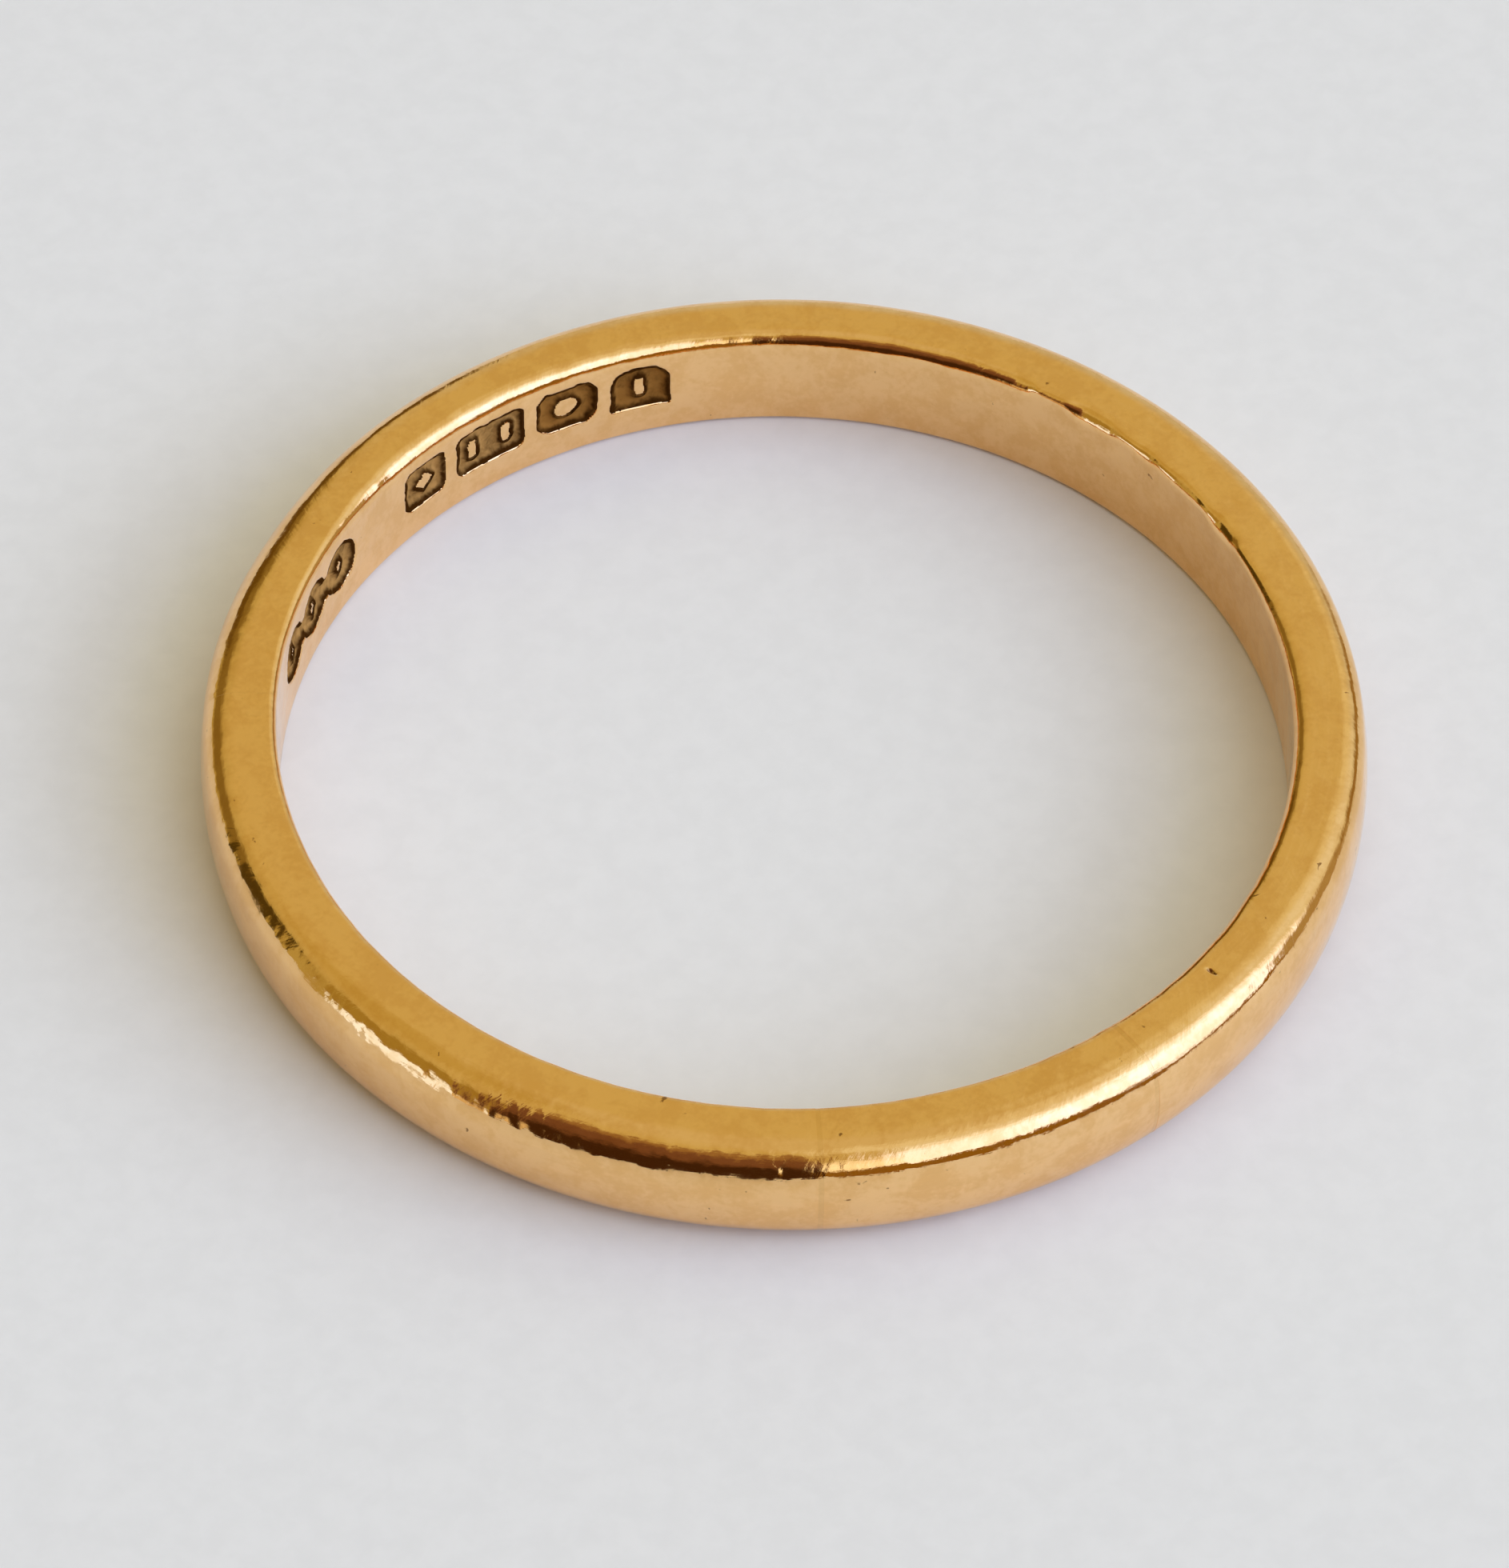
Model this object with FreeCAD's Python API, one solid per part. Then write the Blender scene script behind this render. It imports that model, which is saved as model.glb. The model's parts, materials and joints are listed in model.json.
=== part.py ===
"""Plain wedding band, resized once: a shank, a let-in length, two solder joints and five struck marks.

The origin is the centre of the finger hole, at the middle of the band's width.
+Z runs along the finger's axis, and azimuths are counted from +X towards +Y.
"""
import FreeCAD, Part
import math
import os

# Driving dimensions, in millimetres, with azimuths in degrees.

# The band's section
finger_radius = 8.6        # inside radius of the ring
band_width = 2.1           # along the finger
band_thickness = 1.33      # radial, at the middle of the width
crown_rise = 0.18          # how much the outer face bulges over the width
outer_edge_radius = 0.66   # worn outer edges
inner_edge_radius = 0.14   # eased inner edges

# The length let in when the ring was made larger
sizing_azimuth = -85.5     # where the first joint lies
sizing_length = 5.2        # along the inside wall
solder_film = 0.08         # solder left in each joint

# The row of struck marks on the inside wall
marks_azimuth = 104.5      # where the row begins
mark_gap = 0.22            # between neighbours in the row
long_mark_gap = 1.4        # between the row and the long mark
mark_rise = 0.14           # height of the row's middle above the band's middle
mark_height = 1.0
mark_corner = 0.2          # rounding of a punch's corners
mark_depth = 0.16          # from the inside wall to the bottom of a mark
motif_sink = 0.05          # how far a raised motif stays below the inside wall
tarnish_thickness = 0.06   # dark residue on the bottom of each mark
arched_width = 1.13
clipped_width = 1.2
twin_width = 1.48
diamond_width = 1.05
lobe_radius = 0.54         # of the long mark's three lobes
lobe_pitch = 1.06

# The raised motifs, each of which is worn thin
motif_half_height = 0.27
motif_half_width = 0.13

Z_AXIS = FreeCAD.Vector(0, 0, 1)
ORIGIN = FreeCAD.Vector(0, 0, 0)
OVERCUT = 0.3              # how far a cutting tool runs past the wall that it cuts


def section_point(radius, angle, centre_r, centre_z):
    """A point of a section arc, in the plane through the ring's axis and +X."""
    turn = math.radians(angle)
    return FreeCAD.Vector(centre_r + radius * math.cos(turn), 0, centre_z + radius * math.sin(turn))


def section_arc(radius, start, end, centre_r, centre_z):
    ends = [section_point(radius, angle, centre_r, centre_z) for angle in (start, (start + end) / 2, end)]
    return Part.Arc(*ends).toShape()


def band_section():
    """The band's section: a straight inside wall, flat sides, round edges and a crowned outer face."""
    half = band_width / 2
    crown_radius = (half ** 2 + crown_rise ** 2) / (2 * crown_rise)
    crown_r = finger_radius + band_thickness - crown_radius
    edge_z = half - outer_edge_radius
    reach = crown_radius - outer_edge_radius
    edge_r = crown_r + math.sqrt(reach ** 2 - edge_z ** 2)
    shoulder = math.degrees(math.asin(edge_z / reach))
    inner_r = finger_radius + inner_edge_radius
    inner_z = half - inner_edge_radius

    arcs = [
        section_arc(inner_edge_radius, 180, 90, inner_r, inner_z),
        section_arc(outer_edge_radius, 90, shoulder, edge_r, edge_z),
        section_arc(crown_radius, shoulder, -shoulder, crown_r, 0),
        section_arc(outer_edge_radius, -shoulder, -90, edge_r, -edge_z),
        section_arc(inner_edge_radius, 270, 180, inner_r, -inner_z),
    ]
    upper_side = Part.makeLine(
        section_point(inner_edge_radius, 90, inner_r, inner_z),
        section_point(outer_edge_radius, 90, edge_r, edge_z),
    )
    lower_side = Part.makeLine(
        section_point(outer_edge_radius, -90, edge_r, -edge_z),
        section_point(inner_edge_radius, -90, inner_r, -inner_z),
    )
    inside_wall = Part.makeLine(
        FreeCAD.Vector(finger_radius, 0, -inner_z),
        FreeCAD.Vector(finger_radius, 0, inner_z),
    )
    edges = [arcs[0], upper_side, arcs[1], arcs[2], arcs[3], lower_side, arcs[4], inside_wall]
    return Part.Face(Part.Wire(edges))


def band_length(start, end):
    """The stretch of band from one azimuth to another."""
    stretch = band_section().revolve(ORIGIN, Z_AXIS, end - start)
    stretch.rotate(ORIGIN, Z_AXIS, start)
    return stretch


def arc_degrees(length):
    """The azimuth that a length takes up along the inside wall."""
    return math.degrees(length / finger_radius)


# A punch is a prism along +X through the inside wall, with Y along the wall and Z across it.

def punch_start():
    return finger_radius - OVERCUT


def punch_length():
    return mark_depth + 2 * OVERCUT


def block(width, height):
    corner = FreeCAD.Vector(punch_start(), -width / 2, -height / 2)
    return Part.makeBox(punch_length(), width, height, corner)


def disc(radius, across):
    centre = FreeCAD.Vector(punch_start(), across, 0)
    return Part.makeCylinder(radius, punch_length(), centre, FreeCAD.Vector(1, 0, 0))


def prism(points):
    """A punch with straight sides, from the (along, across) corners of its outline."""
    corners = [FreeCAD.Vector(punch_start(), y, z) for y, z in points]
    outline = Part.makePolygon(corners + corners[:1])
    return Part.Face(outline).extrude(FreeCAD.Vector(punch_length(), 0, 0))


def diamond(half_width, half_height):
    return prism([(half_width, 0), (0, half_height), (-half_width, 0), (0, -half_height)])


def rounded_block(width, height, radius):
    solid = block(width, height)
    along_x = [edge for edge in solid.Edges if abs(edge.tangentAt(edge.FirstParameter).x) > 0.99]
    return solid.makeFillet(radius, along_x)


def oval(across):
    """An upright slot-shaped punch."""
    body = block(2 * motif_half_width, 2 * (motif_half_height - motif_half_width))
    ends = [disc(motif_half_width, 0), disc(motif_half_width, 0)]
    for end, side in zip(ends, (1, -1)):
        end.translate(FreeCAD.Vector(0, 0, side * (motif_half_height - motif_half_width)))
        body = body.fuse(end)
    body.translate(FreeCAD.Vector(0, across, 0))
    return body.removeSplitter()


def arched_mark():
    """A square foot under a round head, with an upright bar."""
    head = rounded_block(arched_width, mark_height, 2 * mark_corner)
    foot = block(arched_width, mark_height / 2)
    foot.translate(FreeCAD.Vector(0, 0, -mark_height / 4))
    return head.fuse(foot).removeSplitter(), oval(0)


def clipped_mark():
    """A block with clipped corners and a round boss."""
    edge_y = clipped_width / 2
    edge_z = mark_height / 2
    clip_y = edge_y - mark_corner
    clip_z = edge_z - mark_corner
    head = [(edge_y, clip_z), (clip_y, edge_z), (-clip_y, edge_z), (-edge_y, clip_z)]
    foot = [(-edge_y, -clip_z), (-clip_y, -edge_z), (clip_y, -edge_z), (edge_y, -clip_z)]
    return prism(head + foot), disc(2 * motif_half_width, 0)


def twin_mark():
    """A wide block with two upright ovals."""
    apart = twin_width / 4
    return rounded_block(twin_width, mark_height, mark_corner), oval(-apart).fuse(oval(apart))


def diamond_mark():
    return rounded_block(diamond_width, mark_height, mark_corner), diamond(2 * motif_half_width, motif_half_height)


def long_mark():
    """Three round lobes in a row, each with a small diamond."""
    outline = block(2 * lobe_pitch, lobe_radius)
    motif = None
    for place in (-lobe_pitch, 0, lobe_pitch):
        outline = outline.fuse(disc(lobe_radius, place))
        boss = diamond(motif_half_width, motif_half_height)
        boss.translate(FreeCAD.Vector(0, place, 0))
        motif = boss if motif is None else motif.fuse(boss)
    return outline.removeSplitter(), motif


def wall_layer(top, bottom):
    """The layer of the inside wall between two depths below its surface."""
    height = band_width
    base = FreeCAD.Vector(0, 0, -height / 2)
    outer = Part.makeCylinder(finger_radius + bottom, height, base, Z_AXIS)
    return outer.cut(Part.makeCylinder(finger_radius + top, height, base, Z_AXIS))


def strike(mark, azimuth):
    """The metal that a punch moves, and the residue on the bottom of its mark."""
    outline, motif = mark
    for tool in (outline, motif):
        tool.translate(FreeCAD.Vector(0, 0, mark_rise))
        tool.rotate(ORIGIN, Z_AXIS, azimuth)
    ground = outline.cut(motif)
    recess = ground.common(wall_layer(-OVERCUT, mark_depth))
    recess = recess.fuse(motif.common(wall_layer(-OVERCUT, motif_sink))).removeSplitter()
    residue = ground.common(wall_layer(mark_depth - tarnish_thickness, mark_depth))
    return recess, residue.Solids[0]


def marks_row():
    """Each mark's node name, shape and middle azimuth, side by side along the wall."""
    long_width = 2 * (lobe_pitch + lobe_radius)
    row = [
        ("tarnish_arched_mark", arched_mark(), arched_width, mark_gap),
        ("tarnish_clipped_mark", clipped_mark(), clipped_width, mark_gap),
        ("tarnish_twin_mark", twin_mark(), twin_width, mark_gap),
        ("tarnish_diamond_mark", diamond_mark(), diamond_width, long_mark_gap),
        ("tarnish_long_mark", long_mark(), long_width, 0),
    ]
    along = 0
    for name, mark, width, gap in row:
        yield name, mark, marks_azimuth + arc_degrees(along + width / 2)
        along = along + width + gap


film = arc_degrees(solder_film)
second_joint = sizing_azimuth + arc_degrees(sizing_length)
full_turn = 360

nodes = {
    "solder_first_joint": band_length(sizing_azimuth - film / 2, sizing_azimuth + film / 2),
    "sizing_piece": band_length(sizing_azimuth + film / 2, second_joint - film / 2),
    "solder_second_joint": band_length(second_joint - film / 2, second_joint + film / 2),
}
shank = band_length(second_joint + film / 2, full_turn + sizing_azimuth - film / 2)
for node, mark, azimuth in marks_row():
    recess, nodes[node] = strike(mark, azimuth)
    shank = shank.cut(recess)
nodes["shank"] = shank.Solids[0]

os.makedirs("parts", exist_ok=True)
for node, shape in nodes.items():
    shape.exportStep("parts/" + node + ".step")
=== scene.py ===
import json
import math

import bmesh
import bpy
import numpy as np
from mathutils import Matrix, Vector, noise


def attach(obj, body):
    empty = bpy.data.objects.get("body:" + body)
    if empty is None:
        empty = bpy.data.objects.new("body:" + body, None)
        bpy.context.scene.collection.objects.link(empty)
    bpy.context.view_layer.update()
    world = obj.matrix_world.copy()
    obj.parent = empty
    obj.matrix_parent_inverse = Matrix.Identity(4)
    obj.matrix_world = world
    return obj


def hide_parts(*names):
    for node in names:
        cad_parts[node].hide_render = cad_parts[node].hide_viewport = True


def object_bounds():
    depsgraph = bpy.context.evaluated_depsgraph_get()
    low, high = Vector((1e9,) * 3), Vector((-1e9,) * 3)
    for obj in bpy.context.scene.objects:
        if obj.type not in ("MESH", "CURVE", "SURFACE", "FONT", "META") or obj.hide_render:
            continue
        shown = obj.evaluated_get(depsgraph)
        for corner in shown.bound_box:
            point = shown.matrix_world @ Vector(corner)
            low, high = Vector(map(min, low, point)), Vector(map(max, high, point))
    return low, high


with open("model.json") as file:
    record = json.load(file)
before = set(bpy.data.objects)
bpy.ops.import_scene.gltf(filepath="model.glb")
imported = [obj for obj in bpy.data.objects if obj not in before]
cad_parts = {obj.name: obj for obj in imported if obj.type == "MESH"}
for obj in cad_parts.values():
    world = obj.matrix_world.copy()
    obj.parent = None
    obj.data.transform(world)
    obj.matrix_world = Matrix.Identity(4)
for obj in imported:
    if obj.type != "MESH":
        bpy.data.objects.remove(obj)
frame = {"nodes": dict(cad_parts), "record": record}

# A worn gold wedding band, lying on pale paper. Metres and radians unless a name or comment says otherwise.
MM = 0.001
cad_low, cad_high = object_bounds()

# ---------------------------------------------------------------------------
# Sizes, from the frame where it has them
# ---------------------------------------------------------------------------
bore = next(m for m in frame["record"]["mounts"] if m["name"] == "finger_bore")
INNER_R = bore["dims"]["r_mm"] * MM
OUTER_R = cad_high.x
HALF_WIDTH = cad_high.z
CROWN = 0.18 * MM                                   # bulge of the outer face
LOW_OUTER_EDGE = 0.62 * MM                          # radii of the edges the band lies on
LOW_INNER_EDGE = 0.14 * MM

MARK_DEPTH = 0.16 * MM
MARK_SLOPE = 0.07 * MM                              # width of a punch mark's sloping wall
MOTIF_SINK = 0.04 * MM                              # how far the raised motifs stay below the wall
MOTIF_HALF_WIDTH = 0.13 * MM
MOTIF_HALF_HEIGHT = 0.27 * MM
LOBE_PITCH = 1.06 * MM
LOBE_RADIUS = 0.54 * MM
MARK_CORNER = 0.2 * MM
RESIDUE_RIM = 0.014 * MM                            # how far below the wall the residue starts
RESIDUE_DROP = 0.10 * MM                            # and how much lower its middle lies

MARK_STEP = 0.038 * MM                              # mesh step at the marks
JOINT_STEP = 0.03 * MM                              # in the soldered joints
LET_IN_STEP = 0.06 * MM                             # and in the length between them


def azimuth_span(node):
    """The first and last azimuth of a CAD node, and its lowest and highest z."""
    points = np.array([v.co for v in frame["nodes"][node].data.vertices])
    angles = np.arctan2(points[:, 1], points[:, 0])
    middle = math.atan2(points[:, 1].mean(), points[:, 0].mean())
    offset = (angles - middle + math.pi) % (2 * math.pi) - math.pi
    return middle + offset.min(), middle + offset.max(), points[:, 2].min(), points[:, 2].max()


# ---------------------------------------------------------------------------
# Punch marks: signed distances in the plane of the wall, negative inside
# ---------------------------------------------------------------------------
def box_distance(y, z, half_w, half_h, corner):
    dy = np.abs(y) - half_w + corner
    dz = np.abs(z) - half_h + corner
    outside = np.hypot(np.maximum(dy, 0), np.maximum(dz, 0))
    return outside + np.minimum(np.maximum(dy, dz), 0) - corner


def oval_distance(y, z, half_w, half_h):
    rest = np.maximum(np.abs(z) - (half_h - half_w), 0)
    return np.hypot(y, rest) - half_w


def diamond_distance(y, z, half_w, half_h):
    slope = math.hypot(half_w, half_h)
    return (np.abs(y) * half_h + np.abs(z) * half_w - half_w * half_h) / slope


def arched_mark(y, z, half_w, half_h):
    """A square foot under a round head, with an upright bar."""
    head = box_distance(y, z, half_w, half_h, 2 * MARK_CORNER)
    foot = box_distance(y, z + half_h / 2, half_w, half_h / 2, MARK_CORNER / 4)
    return np.minimum(head, foot), oval_distance(y, z, MOTIF_HALF_WIDTH, MOTIF_HALF_HEIGHT)


def clipped_mark(y, z, half_w, half_h):
    """A block with clipped corners and a round boss."""
    clip = (np.abs(y) + np.abs(z) - (half_w + half_h - MARK_CORNER)) / math.sqrt(2)
    outline = np.maximum(box_distance(y, z, half_w, half_h, 0), clip)
    return outline, np.hypot(y, z) - 2 * MOTIF_HALF_WIDTH


def twin_mark(y, z, half_w, half_h):
    """A wide block with two upright ovals."""
    ovals = oval_distance(np.abs(y) - half_w / 2, z, MOTIF_HALF_WIDTH, MOTIF_HALF_HEIGHT)
    return box_distance(y, z, half_w, half_h, MARK_CORNER), ovals


def diamond_mark(y, z, half_w, half_h):
    outline = box_distance(y, z, half_w, half_h, MARK_CORNER)
    return outline, diamond_distance(y, z, 2 * MOTIF_HALF_WIDTH, MOTIF_HALF_HEIGHT)


def long_mark(y, z, half_w, half_h):
    """Three round lobes in a row, each with a small diamond."""
    outline = box_distance(y, z, LOBE_PITCH, LOBE_RADIUS / 2, 0)
    motif = np.full_like(outline, 1.0)
    for place in (-LOBE_PITCH, 0, LOBE_PITCH):
        outline = np.minimum(outline, np.hypot(y - place, z) - LOBE_RADIUS)
        motif = np.minimum(motif, diamond_distance(y - place, z, MOTIF_HALF_WIDTH, MOTIF_HALF_HEIGHT))
    return outline, motif


MARKS = {
    "tarnish_arched_mark": arched_mark,
    "tarnish_clipped_mark": clipped_mark,
    "tarnish_twin_mark": twin_mark,
    "tarnish_diamond_mark": diamond_mark,
    "tarnish_long_mark": long_mark,
}
MARK_SPANS = {node: azimuth_span(node) for node in MARKS}


def away_from(azimuth, place):
    """Unsigned turn between azimuths, the short way round."""
    return np.abs((azimuth - place + math.pi) % (2 * math.pi) - math.pi)


def smooth(low, high, x):
    t = np.clip((x - low) / (high - low), 0, 1)
    return t * t * (3 - 2 * t)


def mark_fields(node, azimuth, z):
    """The outline's and motif's distances for points on the inside wall."""
    first, last, z_low, z_high = MARK_SPANS[node]
    turn = (azimuth - (first + last) / 2 + math.pi) % (2 * math.pi) - math.pi
    half_w = (last - first) / 2 * INNER_R
    uneven = 0.035 * MM * ripple(azimuth, z / (0.30 * MM), 190, 7.7)
    uneven = uneven + 0.018 * MM * ripple(azimuth, z / (0.11 * MM), 520, 1.4)
    fields = MARKS[node](turn * INNER_R, z - (z_low + z_high) / 2, half_w, (z_high - z_low) / 2)
    return fields[0] + uneven + 0.004 * MM, fields[1] + uneven + 0.015 * MM


def ripple(azimuth, across, per_turn, seed):
    """Smooth noise from -1 to 1 round the ring, without a join where the turn closes."""
    flat = np.broadcast_arrays(azimuth, across)
    radius = per_turn / (2 * math.pi)
    values = [
        noise.noise(Vector((radius * math.cos(a), radius * math.sin(a), b + seed)))
        for a, b in zip(flat[0].ravel(), flat[1].ravel())
    ]
    return np.array(values).reshape(flat[0].shape)


def struck_depth(azimuth, z):
    """How deep the punches went, at points on the inside wall."""
    depth = np.zeros_like(azimuth)
    for node, (first, last, z_low, z_high) in MARK_SPANS.items():
        near = away_from(azimuth, (first + last) / 2) < (last - first) / 2 + 0.01
        near &= (z > z_low - MARK_SLOPE) & (z < z_high + MARK_SLOPE)
        outline, motif = mark_fields(node, azimuth[near], z[near])
        ground = MARK_DEPTH * smooth(0, MARK_SLOPE, -outline)
        raised = 1 - (1 - MOTIF_SINK / MARK_DEPTH) * smooth(-MARK_SLOPE, MARK_SLOPE / 2, -motif)
        depth[near] = np.maximum(depth[near], ground * raised)
    return depth


# ---------------------------------------------------------------------------
# The band's surface
# ---------------------------------------------------------------------------
# Wear has rounded the edges unevenly: azimuth in degrees and radius in mm
OUTER_ROUNDING = (
    (-180, 0.60), (-170, 0.58), (-160, 0.62), (-152, 0.66), (-142, 0.70), (-131, 0.82), (-118, 0.79),
    (-105, 0.76), (-90, 0.74), (-75, 0.71), (-60, 0.67), (-50, 0.64), (-40, 0.60), (-30, 0.55), (-20, 0.49),
    (0, 0.42), (20, 0.43), (60, 0.50), (100, 0.55), (140, 0.66), (156, 0.82), (168, 0.74), (180, 0.60),
)
INNER_ROUNDING = (
    (-180, 0.14), (-70, 0.14), (-45, 0.24), (-20, 0.29), (15, 0.28), (26, 0.17), (60.4, 0.15), (61.4, 0.27),
    (70, 0.30), (80, 0.31), (90, 0.29), (96, 0.29), (104, 0.31), (115, 0.30), (130, 0.33), (140, 0.30),
    (150, 0.24), (158, 0.16), (180, 0.14),
)
# Flats rubbed on the upper edges: azimuths, height z, reach across and depth, the last three in mm
RUBS = (
    (-138.5, -123.5, 0.66, 0.13, 0.012),
    (-146, -141, 0.74, 0.08, 0.005),
)
INNER_RUBS = (
    (49.0, 55.5, 0.93, 0.06, 0.007),
    (42.5, 46.4, 0.93, 0.05, 0.004),
    (60.0, 61.4, 0.90, 0.06, 0.012),
)
# Ragged wear along the upper outer edge: azimuths, height z, reach across and depth
RAGGED = (
    (-176, -160, 0.84, 0.13, 0.004),
    (-160, -139, 0.80, 0.14, 0.009),
    (-139, -123, 0.74, 0.15, 0.012),
    (-123, -88, 0.78, 0.20, 0.013),
    (-88, -14, 0.76, 0.12, 0.0016),
)
INNER_RAGGED = (
    (24, 62, 0.93, 0.08, 0.0016),
    (62, 102, 0.90, 0.12, 0.006),
    (102, 156, 0.93, 0.10, 0.0025),
)
# Burrs left standing along the outer one: azimuth, height z, radius and how far they rise
BURRS = (
    (-162.3, 0.72, 0.040, 0.018),
    (-161.2, 0.78, 0.035, 0.015),
    (-146.2, 0.74, 0.035, 0.014),
    (-118.4, 0.62, 0.045, 0.026),
    (-107.4, 0.57, 0.045, 0.028),
    (-106.8, 0.61, 0.035, 0.020),
)
# Where the upper inner edge is worn rounder: azimuth, half length in degrees, change of radius in mm
INNER_WEAR = (
    (52.6, 3.4, 0.13),
    (44.6, 1.6, 0.06),
    (38.0, 3.5, 0.05),
    (30.2, 2.6, 0.14),
)
# A pit in the upper side
PIT_AZIMUTH = -38.0
PIT_RADIUS = 9.04 * MM                              # from the ring's middle
PIT_HALF_LENGTH = 0.032 * MM                        # along the band
PIT_HALF_ACROSS = 0.085 * MM
PIT_DEPTH = 0.08 * MM
SOLDER_SINK = 0.003 * MM                            # how far the joints' solder has worn below the gold


def ragged(turn, z):
    """Uneven, mostly upright furrows from -1 to 1, as hard knocks leave along an edge."""
    furrows = 1 - 2.4 * np.abs(ripple(turn, z / (0.20 * MM), 300, 2.6))
    fine = ripple(turn, z / (0.11 * MM), 560, 7.6)
    broad = ripple(turn, z / (0.4 * MM), 110, 2.6)
    return 0.45 * furrows + 0.6 * fine + 0.8 * broad


def zone_between(turn, low, high):
    """1 between two azimuths in degrees, fading over 2 degrees at both ends."""
    middle, half = math.radians((low + high) / 2), math.radians((high - low) / 2)
    fade = math.radians(1)
    return 1 - smooth(half - fade, half + fade, away_from(turn, middle))


def height_zone(z, height, reach):
    """1 at a height given in mm, fading to both sides of it."""
    return np.exp(-((z - height * MM) / (reach * MM)) ** 2)


def rub_push(turn, z, rubs):
    push = np.zeros_like(turn)
    for first, last, height, reach, depth in rubs:
        push += depth * MM * height_zone(z, height, reach) * zone_between(turn, first, last)
    return push


def ragged_push(turn, z, stretches):
    push = np.zeros_like(turn)
    for first, last, height, reach, depth in stretches:
        zone = height_zone(z, height, reach) * zone_between(turn, first, last)
        some = zone > 0.02
        push[some] += depth * MM * zone[some] * ragged(turn[some], z[some])
    return push


def edge_push(turn, z):
    """How far wear has pressed in the upper outer edge."""
    push = rub_push(turn, z, RUBS) + ragged_push(turn, z, RAGGED)
    for place, height, radius, rise in BURRS:
        along = away_from(turn, math.radians(place)) * OUTER_R
        near = np.hypot(along, z - height * MM) / (radius * MM)
        push -= rise * MM * np.exp(-near ** 2)
    return push


marks_from = min(span[0] for span in MARK_SPANS.values()) - MARK_SLOPE / INNER_R
marks_to = max(span[1] for span in MARK_SPANS.values()) + MARK_SLOPE / INNER_R
WALL_FROM = min(span[2] for span in MARK_SPANS.values()) - MARK_SLOPE / 2
WALL_TO = max(span[3] for span in MARK_SPANS.values()) + MARK_SLOPE / 2


def band_section(edge, inner_edge, low_edge, low_inner, crown, thickness):
    """Section points and their normals, from the foot of the inside wall up and round.

    The sizes are arrays over the azimuth. Gives r, z, normal r and normal z as rows by azimuths, and
    how many of the rows lie on the inside wall.
    """
    half = HALF_WIDTH
    crown_radius = (half ** 2 + crown ** 2) / (2 * crown)
    crown_r = INNER_R + thickness - crown_radius
    quarter = math.pi / 2
    rows = []

    def edge_centre(radius):
        """Where an outer edge's rounding is centred, and the angle at which it runs into the crown."""
        reach = crown_radius - radius
        height = half - radius
        return crown_r + np.sqrt(reach ** 2 - height ** 2), height, np.arcsin(height / reach)

    edge_r, edge_z, shoulder = edge_centre(edge)
    low_r, low_z, low_shoulder = edge_centre(low_edge)
    inner_r, low_inner_r = INNER_R + inner_edge, INNER_R + low_inner
    wall_top, wall_foot = half - inner_edge, low_inner - half

    def arc(radius, centre_r, centre_z, start, end, count):
        for i in range(count):
            angle = start + (end - start) * i / count
            n_r, n_z = np.cos(angle), np.sin(angle)
            rows.append((centre_r + radius * n_r, centre_z + radius * n_z, n_r, n_z))

    def line(r0, z0, r1, z1, n_r, n_z, steps):
        for t in steps:
            rows.append((r0 + (r1 - r0) * t, z0 + (z1 - z0) * t, n_r, n_z))

    ones = np.ones_like(edge)
    line(INNER_R, wall_foot, INNER_R, WALL_FROM, -ones, 0 * ones, np.arange(4) / 4)
    fine = int(round((WALL_TO - WALL_FROM) / MARK_STEP))
    fine_top = np.minimum(WALL_TO, wall_top - 0.005 * MM)
    line(INNER_R, WALL_FROM, INNER_R, fine_top, -ones, 0 * ones, np.arange(fine) / fine)
    line(INNER_R, fine_top, INNER_R, wall_top, -ones, 0 * ones, np.arange(2) / 2)
    wall_rows = len(rows)
    arc(inner_edge, inner_r, wall_top, math.pi, quarter, 12)
    line(inner_r, half, edge_r, half, 0 * ones, ones, np.arange(11) / 11)
    arc(edge, edge_r, edge_z, quarter, shoulder, 20)
    arc(crown_radius, crown_r, 0, shoulder, -low_shoulder, 16)
    arc(low_edge, low_r, -low_z, -low_shoulder, -quarter, 10)
    line(low_r, -half, low_inner_r, -half, 0 * ones, -ones, np.arange(5) / 5)
    arc(low_inner, low_inner_r, wall_foot, -quarter, -math.pi, 7)
    shape = [np.array([np.broadcast_to(row[k], edge.shape) for row in rows]) for k in range(4)]
    return shape, wall_rows


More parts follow.
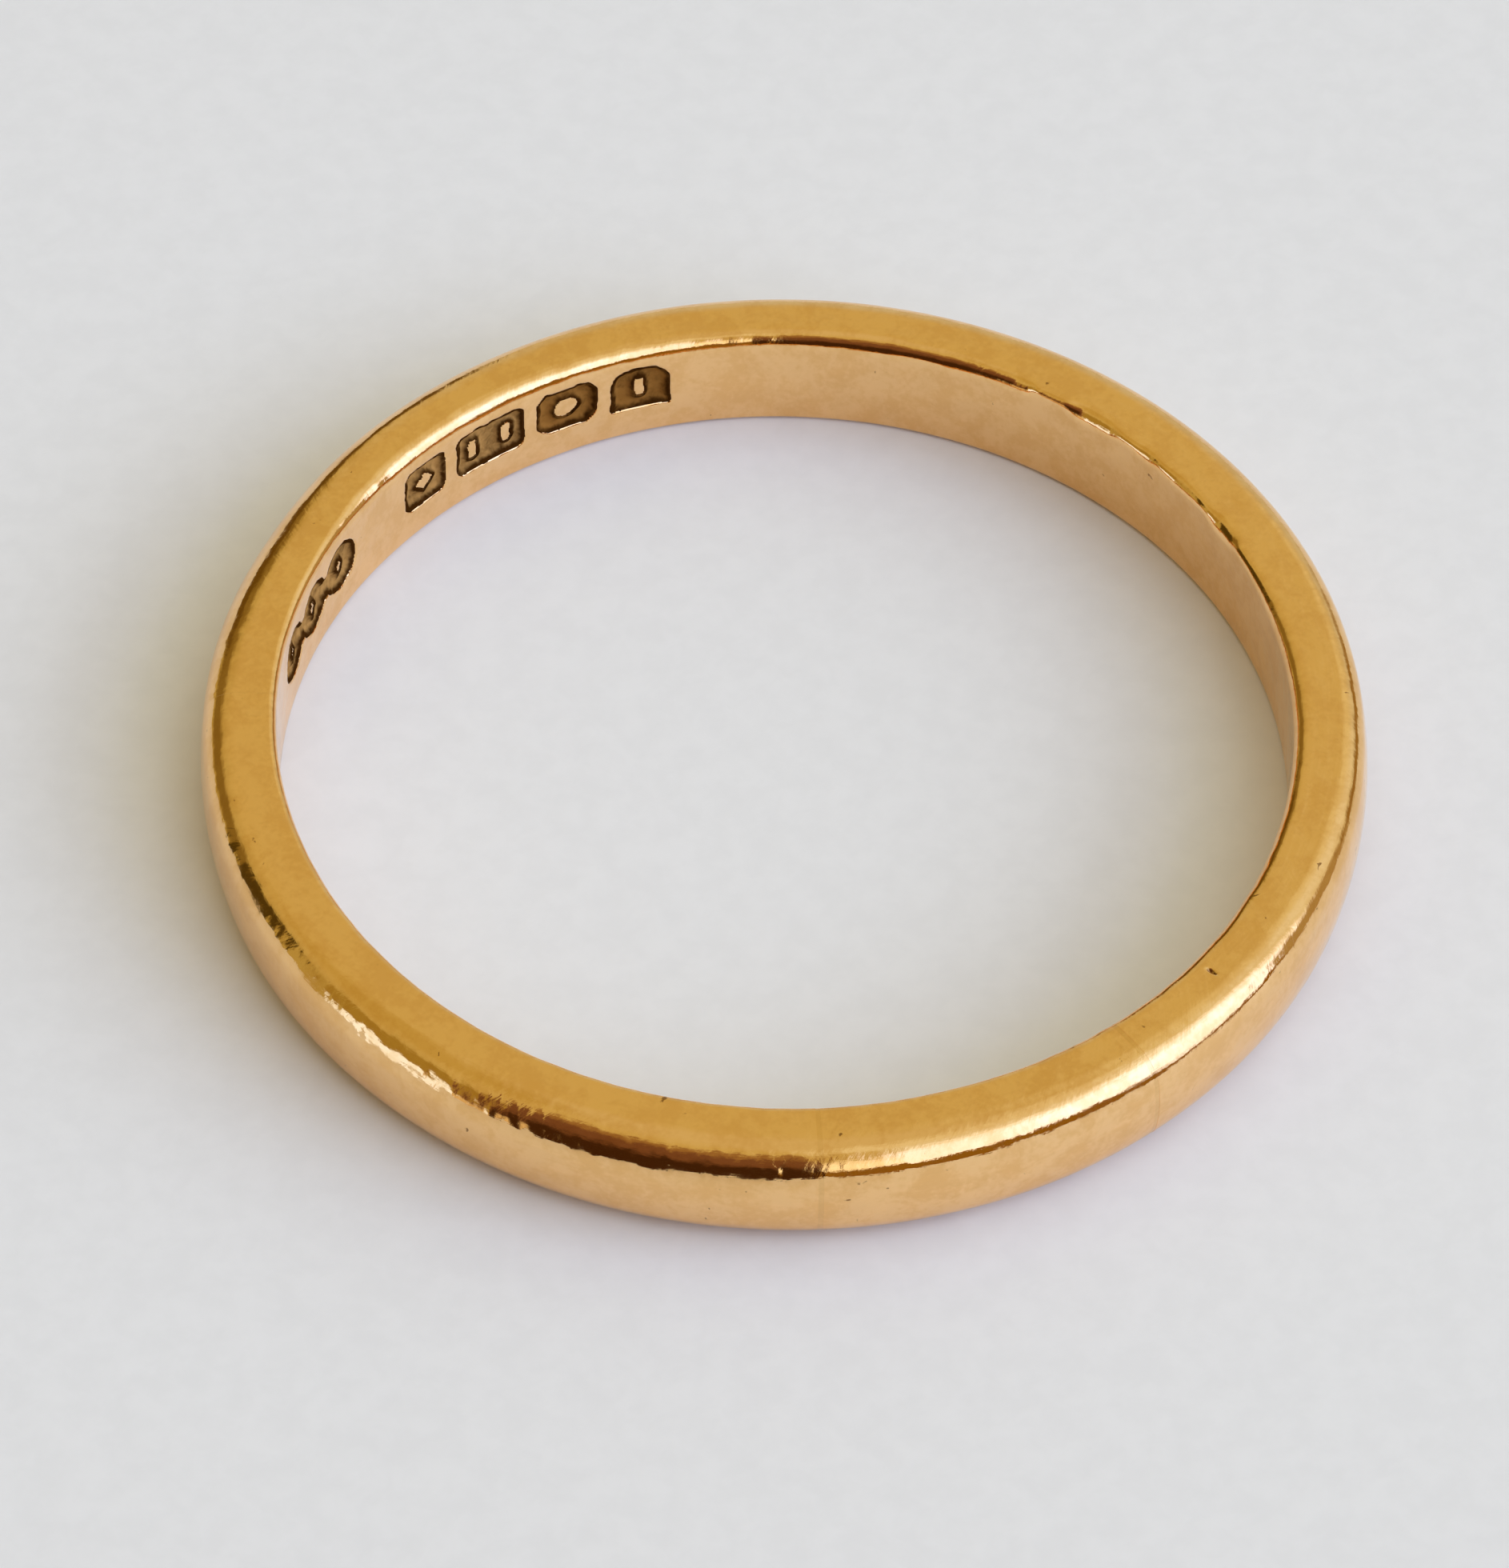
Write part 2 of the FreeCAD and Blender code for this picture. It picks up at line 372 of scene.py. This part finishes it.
def section_sizes(azimuths):
    """The worn band's sizes at each azimuth, in band_section's order."""
    zero = np.zeros(len(azimuths))
    degrees = (np.degrees(azimuths) + 180) % 360 - 180
    edge = MM * np.interp(degrees, *zip(*OUTER_ROUNDING)) + 0.015 * MM * ripple(azimuths, zero, 24, 3.1)
    inner_edge = MM * np.interp(degrees, *zip(*INNER_ROUNDING))
    inner_edge *= 1 + 0.10 * ripple(azimuths, zero, 160, 2.2)
    for place, half_length, change in INNER_WEAR:
        off = away_from(azimuths, math.radians(place)) / math.radians(half_length)
        inner_edge += change * MM * np.exp(-off ** 4)
    over_marks = (azimuths > marks_from) & (azimuths < marks_to)
    room_left = HALF_WIDTH - WALL_TO - 0.005 * MM
    inner_edge = np.where(over_marks, np.minimum(inner_edge, room_left), inner_edge)
    low_edge = LOW_OUTER_EDGE + 0.03 * MM * ripple(azimuths, zero, 14, 9.3)
    low_inner = LOW_INNER_EDGE + 0.01 * MM * ripple(azimuths, zero, 30, 6.0)
    crown = CROWN + 0.015 * MM * ripple(azimuths, zero, 6, 8.4)
    thickness = OUTER_R - INNER_R - 0.015 * MM * (1 + ripple(azimuths, zero, 5, 1.7))
    return edge, inner_edge, low_edge, low_inner, crown, thickness


def wear_push(turn, r, z):
    """How far wear has pressed each point of the surface in."""
    push = 0.003 * MM * (1 + ripple(turn, z / (0.9 * MM), 40, 5.2))
    outer_top = (r > INNER_R + 0.55 * MM) & (z > 0)
    push[outer_top] += edge_push(turn[outer_top], z[outer_top])
    inner_top = (r < INNER_R + 0.45 * MM) & (z > 0.7 * MM)
    push[inner_top] += rub_push(turn[inner_top], z[inner_top], INNER_RUBS)
    push[inner_top] += ragged_push(turn[inner_top], z[inner_top], INNER_RAGGED)
    along = away_from(turn, math.radians(PIT_AZIMUTH)) * PIT_RADIUS
    off = np.hypot(along / PIT_HALF_LENGTH, (r - PIT_RADIUS) / PIT_HALF_ACROSS)
    push += PIT_DEPTH * np.exp(-off ** 4) * (z > 1.04 * MM)
    return push


def swept_mesh(name, points):
    """A closed mesh through points laid out as section rows by columns along the band, with flat ends."""
    rows, columns = points.shape[:2]
    index = np.arange(rows * columns).reshape(rows, columns)
    nxt = np.roll(index, -1, axis=0)
    quads = np.stack([index[:, :-1], index[:, 1:], nxt[:, 1:], nxt[:, :-1]], axis=-1).reshape(-1, 4)
    faces = [tuple(q) for q in quads.tolist()]
    caps = [tuple(index[:, 0].tolist()), tuple(index[::-1, -1].tolist())]
    mesh = bpy.data.meshes.new(name)
    mesh.from_pydata(points.reshape(-1, 3).tolist(), [], faces + caps)
    mesh.polygons.foreach_set("use_smooth", [True] * len(faces) + [False] * 2)
    rim = {frozenset(pair) for ring in (index[:, 0], index[:, -1])
           for pair in zip(ring.tolist(), np.roll(ring, -1).tolist())}
    sharp = [frozenset(e.vertices) in rim for e in mesh.edges]
    mesh.attributes.new("sharp_edge", "BOOLEAN", "EDGE").data.foreach_set("value", sharp)
    mesh.validate()
    return mesh


def band_piece(name, azimuths, sink=0.0):
    """A closed stretch of worn band along the given azimuths."""
    (r, z, n_r, n_z), wall_rows = band_section(*section_sizes(azimuths))
    turn = np.broadcast_to(azimuths, r.shape)
    push = wear_push(turn, r, z) + sink
    r = r - n_r * push
    z = z - n_z * push
    r[:wall_rows] += struck_depth(turn[:wall_rows], z[:wall_rows])
    points = np.stack([r * np.cos(turn), r * np.sin(turn), z], axis=-1)
    return link(name, swept_mesh(name, points))


def link(name, mesh):
    piece = bpy.data.objects.new(name, mesh)
    bpy.context.scene.collection.objects.link(piece)
    return piece


def residue_piece(name, node):
    """A film of residue on the bottom of one mark, thicker against its walls."""
    first, last, z_low, z_high = MARK_SPANS[node]
    step = 0.026 * MM
    along = np.arange(first * INNER_R, last * INNER_R + step, step) / INNER_R
    heights = np.arange(z_low, z_high + step, step)
    turn, z = np.meshgrid(along, heights)
    outline, motif = mark_fields(node, turn, z)
    lumps = 0.012 * MM * ripple(turn, z / (0.16 * MM), 300, 4.4)
    from_walls = np.minimum(-outline, motif + 0.06 * MM)
    below = RESIDUE_RIM + RESIDUE_DROP * smooth(0.02 * MM, 0.19 * MM, from_walls)
    top = INNER_R + below + lumps * smooth(0, 0.1 * MM, -outline)
    bottom = np.full_like(top, INNER_R + MARK_DEPTH + 0.03 * MM)
    kept = (outline < -0.004 * MM) & (motif > -0.022 * MM)
    cells = kept[:-1, :-1] & kept[1:, :-1] & kept[:-1, 1:] & kept[1:, 1:]

    count = turn.size
    index = np.arange(count).reshape(turn.shape)
    faces = []
    edges = {}
    for i, j in zip(*np.nonzero(cells)):
        quad = [int(k) for k in (index[i, j], index[i + 1, j], index[i + 1, j + 1], index[i, j + 1])]
        faces.append(tuple(quad))
        faces.append(tuple(k + count for k in reversed(quad)))
        for a, b in zip(quad, quad[1:] + quad[:1]):
            if (b, a) in edges:
                del edges[(b, a)]
            else:
                edges[(a, b)] = True
    faces += [(b, a, a + count, b + count) for a, b in edges]
    points = [
        np.stack([layer * np.cos(turn), layer * np.sin(turn), z], axis=-1).reshape(-1, 3)
        for layer in (top, bottom)
    ]
    mesh = bpy.data.meshes.new(name)
    mesh.from_pydata(np.concatenate(points).tolist(), [], faces)
    drop_loose(mesh)
    mesh.polygons.foreach_set("use_smooth", [True] * len(mesh.polygons))
    return link(name, mesh)


def drop_loose(mesh):
    work = bmesh.new()
    work.from_mesh(mesh)
    bmesh.ops.delete(work, geom=[v for v in work.verts if not v.link_faces], context="VERTS")
    bmesh.ops.recalc_face_normals(work, faces=work.faces)
    work.to_mesh(mesh)
    work.free()


def steps_between(start, end, step):
    count = max(2, int(math.ceil((end - start) * INNER_R / step)))
    return np.linspace(start, end, count + 1)


def stretch_steps(stops):
    """Azimuths through stretches that each start at a stop's azimuth and go on in its step."""
    runs = [steps_between(start, end, step) for (start, step), (end, _) in zip(stops, stops[1:])]
    return np.concatenate([run[:-1] for run in runs[:-1]] + [runs[-1]])


joint_a = azimuth_span("solder_first_joint")[:2]
joint_b = azimuth_span("solder_second_joint")[:2]
full = 2 * math.pi
pit_at = math.radians(PIT_AZIMUTH)
pit_margin = 0.015
shank_stops = (
    (joint_b[1], 0.06 * MM),
    (pit_at - pit_margin, 0.025 * MM),
    (pit_at + pit_margin, 0.08 * MM),
    (math.radians(-12), 0.22 * MM),
    (math.radians(22), 0.07 * MM),                  # flecked inner edge
    (math.radians(66), 0.10 * MM),
    (marks_from, MARK_STEP),
    (marks_to, 0.22 * MM),
    (math.radians(-178) + full, 0.05 * MM),         # knocked outer edge
    (math.radians(-102) + full, 0.05 * MM),
    (joint_a[0] + full, None),
)

shank = band_piece("shank_band", stretch_steps(shank_stops))
sizing = band_piece("let_in_length", steps_between(joint_a[1], joint_b[0], LET_IN_STEP))
solder_a = band_piece("first_solder_joint", steps_between(*joint_a, JOINT_STEP), SOLDER_SINK)
solder_b = band_piece("second_solder_joint", steps_between(*joint_b, JOINT_STEP), SOLDER_SINK)
residues = {node: residue_piece(node.replace("tarnish", "residue"), node) for node in MARKS}


# ---------------------------------------------------------------------------
# Materials
# ---------------------------------------------------------------------------
class Graph:
    """A short way to write shader nodes."""

    def __init__(self, tree):
        self.tree = tree
        tree.nodes.clear()

    def node(self, kind, inputs=None, **settings):
        made = self.tree.nodes.new(kind)
        for key, value in settings.items():
            setattr(made, key, value)
        for key, value in (inputs or {}).items():
            self.put(made.inputs[key], value)
        return made

    def put(self, socket, value):
        if isinstance(value, bpy.types.NodeSocket):
            self.tree.links.new(value, socket)
        else:
            socket.default_value = value

    def math(self, operation, *values, clamp=False):
        made = self.node("ShaderNodeMath", operation=operation, use_clamp=clamp)
        for socket, value in zip(made.inputs, values):
            self.put(socket, value)
        return made.outputs[0]

    def ramp(self, value, low, high, to_low=0.0, to_high=1.0, kind="SMOOTHSTEP"):
        made = self.node("ShaderNodeMapRange", interpolation_type=kind)
        for socket, given in zip(made.inputs, (value, low, high, to_low, to_high)):
            self.put(socket, given)
        return made.outputs[0]

    def mix(self, factor, a, b, blend="MIX"):
        made = self.node("ShaderNodeMix", data_type="RGBA", blend_type=blend)
        self.put(made.inputs["Factor"], factor)
        for socket, value in zip([s for s in made.inputs if s.type == "RGBA"], (a, b)):
            self.put(socket, value)
        return next(s for s in made.outputs if s.type == "RGBA")

    def noise(self, vector, scale, detail=2.0, distortion=0.0, roughness=0.5):
        made = self.node("ShaderNodeTexNoise", {
            "Vector": vector, "Scale": scale, "Detail": detail,
            "Roughness": roughness, "Distortion": distortion})
        return made.outputs["Fac"]

    def combine(self, x, y, z):
        return self.node("ShaderNodeCombineXYZ", {"X": x, "Y": y, "Z": z}).outputs[0]


def rgb(r, g, b):
    return (r, g, b, 1.0)


def round_coordinates(graph):
    """Object coordinates unrolled: along the band, radial and across it, in millimetres."""
    place = graph.node("ShaderNodeTexCoord").outputs["Object"]
    parts = graph.node("ShaderNodeSeparateXYZ", {"Vector": place})
    x, y, z = parts.outputs
    turn = graph.math("ARCTAN2", y, x)
    radial = graph.math("SQRT", graph.math("ADD", *(graph.math("MULTIPLY", part, part) for part in (x, y))))
    along = graph.math("MULTIPLY", turn, (INNER_R + OUTER_R) / 2 / MM)
    return along, graph.math("DIVIDE", radial, MM), graph.math("DIVIDE", z, MM)


def gold_material(name, colour, dull_colour, grain):
    """Old polished gold: grain, polishing lines and scratches, dull patches, specks of grime, and painted
    shade darkening the pit.
    """
    material = bpy.data.materials.new(name)
    material.use_nodes = True
    graph = Graph(material.node_tree)
    along, radial, across = round_coordinates(graph)
    spot = graph.combine(along, radial, across)

    lines = graph.noise(graph.combine(graph.math("MULTIPLY", along, 0.12), radial, across), 11.0, 3.0)
    slanted = graph.combine(
        graph.math("ADD", along, graph.math("MULTIPLY", radial, 0.9)),
        graph.math("MULTIPLY", radial, 0.12),
        graph.math("MULTIPLY", across, 0.25))
    scratches = graph.noise(slanted, 8.0, 4.0, 0.8)
    speckle = graph.noise(spot, 9.0, 2.0, 0.3)
    peel = graph.noise(spot, 1.9, 1.0)
    patches = graph.noise(spot, 1.5, 4.0, 0.4, 0.6)
    dirt_and_pit_shade = graph.ramp(graph.noise(spot, 4.4, 3.0, 0.6), 0.73, 0.78)

    def squared_offset(value, place, half):
        offset = graph.math("DIVIDE", graph.math("SUBTRACT", value, place / MM), half / MM)
        return graph.math("POWER", offset, 2.0)

    pit_along = math.radians(PIT_AZIMUTH) * (INNER_R + OUTER_R) / 2
    pit = graph.math("ADD", squared_offset(along, pit_along, PIT_HALF_LENGTH),
                     squared_offset(radial, PIT_RADIUS, PIT_HALF_ACROSS))
    # painted shade: the pit in the upper side gets the same dark brown as the grime specks, standing in for
    # the shade inside it
    dirt_and_pit_shade = graph.math("MAXIMUM", dirt_and_pit_shade, graph.ramp(pit, 0.8, 1.6, 1.0, 0.0))

    height = graph.math("MULTIPLY", speckle, grain)
    for layer, weight in ((lines, 0.35), (scratches, 0.30), (peel, 2.0)):
        height = graph.math("ADD", height, graph.math("MULTIPLY", layer, weight))
    bump = graph.node("ShaderNodeBump", {"Strength": 1.0, "Distance": 0.008 * MM, "Height": height})

    tone = graph.math("ADD", graph.math("MULTIPLY", speckle, 0.3), graph.math("MULTIPLY", patches, 0.7))
    base = graph.mix(graph.ramp(tone, 0.40, 0.62), colour, dull_colour)
    # dark brown for the random grime specks, and painted shade in the pit
    base = graph.mix(graph.math("MULTIPLY", dirt_and_pit_shade, 0.8), base, rgb(0.22, 0.09, 0.02))
    flat_side = graph.ramp(graph.math("ABSOLUTE", across), 1.02, 1.045)
    rough = graph.ramp(tone, 0.35, 0.65, 0.05, 0.13)
    rough = graph.math("ADD", rough, graph.math("MULTIPLY", flat_side, 0.13))
    shader = graph.node("ShaderNodeBsdfPrincipled", {
        "Base Color": base, "Metallic": 1.0, "Roughness": rough, "Normal": bump.outputs[0]})
    graph.node("ShaderNodeOutputMaterial", {"Surface": shader.outputs[0]})
    return material


def residue_material(name, thinnest, thin_from, thin_to):
    """Dried grime: dark and thick against the walls of a mark, thin and olive in its middle."""
    material = bpy.data.materials.new(name)
    material.use_nodes = True
    graph = Graph(material.node_tree)
    along, radial, across = round_coordinates(graph)
    spot = graph.combine(along, radial, across)
    lumps = graph.noise(spot, 7.0, 4.0, 0.4)
    drift = graph.noise(spot, 0.9, 1.0)
    depth = graph.ramp(radial, INNER_R / MM + 0.02, INNER_R / MM + 0.10)
    thin = graph.math("ADD", graph.math("MULTIPLY", depth, 0.5), graph.math("MULTIPLY", lumps, 0.8))
    thin = graph.math("ADD", thin, graph.math("MULTIPLY", drift, 0.5))
    colour = graph.mix(graph.ramp(thin, thin_from, thin_to), rgb(0.045, 0.015, 0.002), thinnest)
    rough = graph.ramp(lumps, 0.3, 0.7, 0.50, 0.75)
    bump = graph.node("ShaderNodeBump", {"Strength": 1.0, "Distance": 0.01 * MM, "Height": lumps})
    shader = graph.node("ShaderNodeBsdfPrincipled", {
        "Base Color": colour, "Roughness": rough, "Specular IOR Level": 0.0, "Normal": bump.outputs[0]})
    graph.node("ShaderNodeOutputMaterial", {"Surface": shader.outputs[0]})
    return material


def paper_material():
    material = bpy.data.materials.new("pale_paper")
    material.use_nodes = True
    graph = Graph(material.node_tree)
    place = graph.node("ShaderNodeTexCoord").outputs["Object"]
    fibre = graph.noise(place, 1600.0, 5.0, 0.2, 0.6)
    colour = graph.mix(graph.ramp(fibre, 0.3, 0.7), rgb(0.815, 0.828, 0.832), rgb(0.845, 0.858, 0.862))
    bump = graph.node("ShaderNodeBump", {"Strength": 0.25, "Distance": 0.02 * MM, "Height": fibre})
    shader = graph.node("ShaderNodeBsdfPrincipled", {
        "Base Color": colour, "Roughness": 0.5, "Specular IOR Level": 0.7, "Normal": bump.outputs[0]})
    graph.node("ShaderNodeOutputMaterial", {"Surface": shader.outputs[0]})
    return material


GOLD = rgb(0.985, 0.625, 0.275)
GOLD_DULL = rgb(0.91, 0.545, 0.21)
gold = gold_material("worn_gold", GOLD, GOLD_DULL, 0.30)
let_in_gold = gold_material("let_in_gold", GOLD, rgb(0.895, 0.53, 0.20), 0.34)
solder_gold = gold_material("solder_gold", rgb(0.93, 0.58, 0.24), rgb(0.84, 0.50, 0.19), 0.5)
dark_residue = residue_material("dark_residue", rgb(0.30, 0.135, 0.028), 0.62, 1.28)
thin_residue = residue_material("thin_residue", rgb(0.46, 0.25, 0.075), 0.66, 1.36)
RESIDUE_SKINS = {"tarnish_arched_mark": dark_residue, "tarnish_clipped_mark": dark_residue}

PIECES = (
    (shank, gold, "gold", "shank"),
    (sizing, let_in_gold, "gold", "sizing_piece"),
    (solder_a, solder_gold, "solder", "solder_first_joint"),
    (solder_b, solder_gold, "solder", "solder_second_joint"),
) + tuple(
    (piece, RESIDUE_SKINS.get(node, thin_residue), "tarnish", node) for node, piece in residues.items())

for piece, material, slot, node in PIECES:
    piece.data.materials.append(material)
    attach(piece, "root")
    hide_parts(node)


# ---------------------------------------------------------------------------
# Floor, light and camera
# ---------------------------------------------------------------------------
def make_floor():
    half = 0.6
    mesh = bpy.data.meshes.new("paper_floor")
    corners = [(-half, -half, 0), (half, -half, 0), (half, half, 0), (-half, half, 0)]
    mesh.from_pydata(corners, [], [(0, 1, 2, 3)])
    floor = link("paper_floor", mesh)
    floor.location.z = cad_low.z
    mesh.materials.append(paper_material())


def make_room():
    """A warm, pale room: a broad cool window to the right and a dark figure in front."""
    world = bpy.data.worlds.new("room")
    bpy.context.scene.world = world
    world.use_nodes = True
    graph = Graph(world.node_tree)
    way = graph.node("ShaderNodeTexCoord").outputs["Generated"]
    x, y, z = graph.node("ShaderNodeSeparateXYZ", {"Vector": way}).outputs
    turn = graph.math("DEGREES", graph.math("ARCTAN2", y, x))      # -180 to 180
    height = graph.math("DEGREES", graph.math("ARCSINE", z))

    def band(value, low, high, soft, soft_end=None):
        soft_end = soft if soft_end is None else soft_end
        return graph.math("MULTIPLY", graph.ramp(value, low - soft, low + soft),
                          graph.ramp(value, high - soft_end, high + soft_end, 1.0, 0.0))

    room = rgb(0.605, 0.51, 0.225)
    # each patch: colour, its azimuths with softness at both ends, and its elevations likewise
    patches = (
        (rgb(0.65, 0.57, 0.33), (-190, 190, 1, 1), (72, 120, 10, 1)),       # ceiling
        (rgb(0.60, 0.60, 0.50), (22, 104, 16, 14), (-90, 30, 1, 18)),       # pale wall behind
        (rgb(0.46, 0.38, 0.13), (112, 190, 8, 8), (-90, 36, 1, 16)),        # warmer wall at the left
        (rgb(0.46, 0.38, 0.13), (-190, -150, 1, 6), (-90, 36, 1, 16)),
        (rgb(0.53, 0.42, 0.14), (146, 190, 14, 1), (44, 72, 10, 12)),       # shelf over it
        (rgb(0.53, 0.42, 0.14), (-190, -158, 1, 10), (44, 72, 10, 12)),
        (rgb(0.23, 0.16, 0.035), (116, 178, 3, 3), (5, 28, 2, 5)),          # dark furniture on the left
        (rgb(0.13, 0.075, 0.01), (104, 131, 2, 3), (-90, 15, 1, 4)),
        (rgb(0.075, 0.05, 0.008), (161, 176, 2, 2), (-90, 31, 1, 3)),
        (rgb(0.36, 0.26, 0.055), (-172, -143, 3, 2), (12, 36, 1, 5)),
        (rgb(1.10, 1.35, 2.00), (-167, -144, 2, 2), (-3, 11, 1, 2)),        # second, small window
        (rgb(0.80, 0.78, 0.60), (-80, 30, 12, 20), (62, 74, 8, 6)),         # wall over the window
        (rgb(0.74, 0.70, 0.46), (16, 76, 10, 8), (34, 66, 8, 8)),           # and beside it
        (rgb(0.80, 0.82, 0.74), (20, 48, 10, 14), (22, 60, 6, 6)),          # window reveal
        (rgb(0.32, 0.19, 0.07), (-143, -82, 2, 2), (-90, 60, 1, 4)),        # figure in front
        (rgb(0.18, 0.083, 0.040), (-142, -82, 2, 2), (-90, 49, 1, 5)),
        (rgb(0.05, 0.020, 0.006), (-138, -82, 5, 2), (-90, 29, 1, 9)),
        (rgb(0.70, 0.56, 0.34), (-146, -133, 1, 5), (-90, 10, 1, 5)),       # paper past its side
        (rgb(0.26, 0.135, 0.015), (-82, 24, 2, 4), (-90, 18, 1, 2)),        # below the window
        (rgb(0.30, 0.19, 0.05), (24, 56, 4, 8), (3, 16, 2, 3)),
        (rgb(1.05, 1.18, 1.34), (-64, 16, 7, 8), (18, 60, 2, 9)),           # window
        (rgb(1.22, 1.22, 1.15), (-81, -50, 2, 6), (18, 38, 2, 9)),
        (rgb(1.35, 1.50, 2.15), (-70, 12, 6, 8), (18, 50, 2, 8)),
        (rgb(1.50, 1.85, 3.20), (-48, 6, 12, 8), (18, 47, 2, 7)),
        (rgb(1.40, 1.65, 2.60), (-24, 2, 8, 3), (8, 30, 2, 9)),
        (rgb(0.42, 0.32, 0.15), (3, 24, 3, 4), (-90, 26, 1, 5)),            # something standing on its sill
    )
    for colour, (first, last, soft, soft_end), (low, high, soft_low, soft_high) in patches:
        factor = graph.math("MULTIPLY", band(turn, first, last, soft, soft_end),
                            band(height, low, high, soft_low, soft_high))
        room = graph.mix(factor, room, colour)
    plate = graph.node("ShaderNodeBackground", {"Color": room, "Strength": 1.0})
    # past the floor's edge a low view meets a plain pale backdrop, which the gold doesn't mirror
    backdrop = graph.node("ShaderNodeBackground", {"Color": rgb(0.60, 0.595, 0.58), "Strength": 1.0})
    direct = graph.node("ShaderNodeLightPath").outputs["Is Camera Ray"]
    both = graph.node("ShaderNodeMixShader", {0: direct, 1: plate.outputs[0], 2: backdrop.outputs[0]})
    graph.node("ShaderNodeOutputWorld", {"Surface": both.outputs[0]})


def make_lamp(name, size, energy, colour, azimuth, elevation, distance):
    """A soft light for the shadows on the paper; the gold mirrors the room instead."""
    data = bpy.data.lights.new(name, "AREA")
    data.shape = "RECTANGLE"
    data.size, data.size_y = size
    data.energy = energy
    data.color = colour
    turn, height = math.radians(azimuth), math.radians(elevation)
    level = math.cos(height)
    way = Vector((math.cos(turn) * level, math.sin(turn) * level, math.sin(height)))
    lamp = bpy.data.objects.new(name, data)
    lamp.matrix_world = Matrix.Translation(way * distance) @ way.to_track_quat("Z", "Y").to_matrix().to_4x4()
    lamp.visible_glossy = False
    bpy.context.scene.collection.objects.link(lamp)


def make_camera():
    """A hand-held camera, nearly level, a little above the ring's middle in the frame."""
    frame_width, frame_height = 1886, 1960
    focal_pixels = 10300
    distance = 0.1401
    elevation = math.radians(49.05)
    roll, pan, tilt = (math.radians(a) for a in (1.403, 0.202, -0.264))
    back = Vector((0, -math.cos(elevation), math.sin(elevation)))
    right = Vector((1, 0, 0))
    axes = Matrix((right, back.cross(right), back)).transposed()

    data = bpy.data.cameras.new("camera")
    data.sensor_width = 36.0
    data.lens = focal_pixels / max(frame_width, frame_height) * data.sensor_width
    data.clip_start = 0.01
    camera = bpy.data.objects.new("camera", data)
    bpy.context.scene.collection.objects.link(camera)
    turns = Matrix.Rotation(pan, 3, "Y") @ Matrix.Rotation(tilt, 3, "X") @ Matrix.Rotation(roll, 3, "Z")
    camera.matrix_world = Matrix.Translation(back * distance) @ (axes @ turns).to_4x4()
    bpy.context.scene.camera = camera


make_floor()
make_room()
make_lamp("window_light", (1.2, 0.32), 3.55, (0.84, 0.93, 0.99), -14, 24, 0.9)
make_lamp("ceiling_light", (1.5, 1.5), 4.9, (0.57, 0.62, 0.90), 0, 89, 1.5)
make_camera()
bpy.context.scene.view_settings.view_transform = "Standard"
